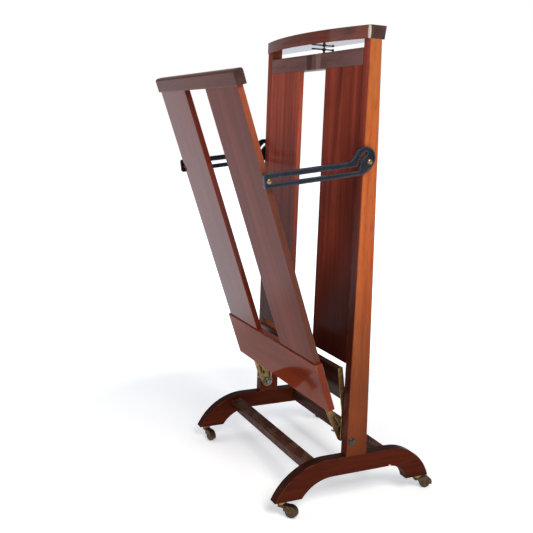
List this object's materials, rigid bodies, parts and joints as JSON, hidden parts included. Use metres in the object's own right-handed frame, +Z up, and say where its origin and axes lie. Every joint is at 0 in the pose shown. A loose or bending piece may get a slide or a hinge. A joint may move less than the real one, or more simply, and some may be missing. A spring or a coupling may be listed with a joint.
{
  "type": "valet stand",
  "caption": "Wooden valet stand on casters: bowed top rail for a jacket, fixed rear boards, and a hinged trouser-press panel held by slotted side arms.",
  "frame": {"origin": "on the floor, under the middle of the two feet", "axes": "+X to the right seen from the front, +Y to the rear, +Z up; the press panel leans out to -Y"},
  "size_m": [0.5217, 0.5418, 1.036],
  "materials": {
    "panel_wood": "old varnish, satin",
    "frame_wood": "old varnish, satin",
    "back_wood": "varnish, satin",
    "rail_wood": "old varnish, satin",
    "brass": "aged plating",
    "steel": "aged",
    "arm_paint": "worn satin enamel",
    "cap": "gloss",
    "wheel": "worn gloss"
  },
  "bodies": {
    "stand": {"foot_right": "frame_wood", "foot_left": "frame_wood", "post_right": "frame_wood", "post_left": "frame_wood", "foot_screws": "brass", "front_stretcher": "rail_wood", "rear_stretcher": "rail_wood", "fixed_board_right": "back_wood", "fixed_board_left": "back_wood", "crossbar": "rail_wood", "top_rail": "rail_wood", "tie_pin": "brass", "hinge_bolts": "steel", "hinge_caps": "cap", "hinge_nuts": "brass", "hinge_sleeves": "brass", "arm_screws": "brass", "arm_washers": "brass", "caster_sockets": "brass"},
    "panel": {"panel_board_right": "panel_wood", "panel_board_left": "panel_wood", "panel_bottom_rail": "panel_wood", "panel_top_rail": "panel_wood", "bracket_right": "brass", "bracket_left": "brass", "bracket_screws": "brass", "spring_right": "steel", "spring_left": "steel"},
    "clamp": {"clamp_rail": "back_wood", "clamp_plate_right": "brass", "clamp_plate_left": "brass", "clamp_screws": "brass"},
    "right_arm": {"arm_right": "arm_paint"},
    "left_arm": {"arm_left": "arm_paint"},
    "right_pin": {"arm_pin_right": "brass"},
    "left_pin": {"arm_pin_left": "brass"},
    "tie_bar": {"tie_bar": "brass"},
    "swivel_front_right": {"caster_hood_front_right": "brass", "caster_axle_front_right": "brass"},
    "wheel_front_right": {"caster_wheel_front_right": "wheel"},
    "swivel_rear_right": {"caster_hood_rear_right": "brass", "caster_axle_rear_right": "brass"},
    "wheel_rear_right": {"caster_wheel_rear_right": "wheel"},
    "swivel_front_left": {"caster_hood_front_left": "brass", "caster_axle_front_left": "brass"},
    "wheel_front_left": {"caster_wheel_front_left": "wheel"},
    "swivel_rear_left": {"caster_hood_rear_left": "brass", "caster_axle_rear_left": "brass"},
    "wheel_rear_left": {"caster_wheel_rear_left": "wheel"}
  },
  "joints": [
    {"name": "panel_tilt", "type": "hinge", "parent": "stand", "child": "panel", "pos_m": [0, -0.0162, 0.1496], "axis": [-1, 0, 0], "range_deg": [0, 17.9]},
    {"name": "clamp_tilt", "type": "hinge", "parent": "stand", "child": "clamp", "pos_m": [0, -0.0162, 0.1496], "axis": [-1, 0, 0], "range_deg": [0, 3.2]},
    {"name": "right_arm_swing", "type": "hinge", "parent": "stand", "child": "right_arm", "pos_m": [0.2432, -0.0184, 0.7641], "axis": [-1, 0, 0], "range_deg": [0, 18.5]},
    {"name": "right_pin_slide", "type": "slide", "parent": "right_arm", "child": "right_pin", "axis": [0, 0.9914, 0.1305], "range_m": [0, 0.1925]},
    {"name": "left_arm_swing", "type": "hinge", "parent": "stand", "child": "left_arm", "pos_m": [-0.2432, -0.0184, 0.7641], "axis": [-1, 0, 0], "range_deg": [0, 18.5]},
    {"name": "left_pin_slide", "type": "slide", "parent": "left_arm", "child": "left_pin", "axis": [0, 0.9914, 0.1305], "range_m": [0, 0.1925]},
    {"name": "tie_bar_swivel", "type": "hinge", "parent": "stand", "child": "tie_bar", "pos_m": [0.012, -0.007, 1.0044], "axis": [0, 0, 1], "range_deg": [-90, 90]},
    {"name": "swivel_front_right", "type": "hinge", "parent": "stand", "child": "swivel_front_right", "pos_m": [0.2255, -0.178, 0.03], "axis": [0, 0, 1], "continuous": true},
    {"name": "wheel_spin_front_right", "type": "hinge", "parent": "swivel_front_right", "child": "wheel_front_right", "pos_m": [0.24185, -0.16328, 0.013], "axis": [0.6691, -0.7431, 0], "continuous": true},
    {"name": "swivel_rear_right", "type": "hinge", "parent": "stand", "child": "swivel_rear_right", "pos_m": [0.2255, 0.178, 0.03], "axis": [0, 0, 1], "continuous": true},
    {"name": "wheel_spin_rear_right", "type": "hinge", "parent": "swivel_rear_right", "child": "wheel_rear_right", "pos_m": [0.22932, 0.19967, 0.013], "axis": [0.9848, -0.1736, 0], "continuous": true},
    {"name": "swivel_front_left", "type": "hinge", "parent": "stand", "child": "swivel_front_left", "pos_m": [-0.2255, -0.178, 0.03], "axis": [0, 0, 1], "continuous": true},
    {"name": "wheel_spin_front_left", "type": "hinge", "parent": "swivel_front_left", "child": "wheel_front_left", "pos_m": [-0.20371, -0.17494, 0.013], "axis": [0.1392, -0.9903, 0], "continuous": true},
    {"name": "swivel_rear_left", "type": "hinge", "parent": "stand", "child": "swivel_rear_left", "pos_m": [-0.2255, 0.178, 0.03], "axis": [0, 0, 1], "continuous": true},
    {"name": "wheel_spin_rear_left", "type": "hinge", "parent": "swivel_rear_left", "child": "wheel_rear_left", "pos_m": [-0.24749, 0.17723, 0.013], "axis": [-0.0349, 0.9994, 0], "continuous": true}
  ],
  "couplings": [
    {"joint": "clamp_tilt", "follows": "panel_tilt", "ratio": 0.17},
    {"joint": "right_arm_swing", "follows": "panel_tilt", "ratio": 1.017},
    {"joint": "right_pin_slide", "follows": "panel_tilt", "m_per_rad": 0.612},
    {"joint": "left_arm_swing", "follows": "panel_tilt", "ratio": 1.017},
    {"joint": "left_pin_slide", "follows": "panel_tilt", "m_per_rad": 0.612}
  ]
}
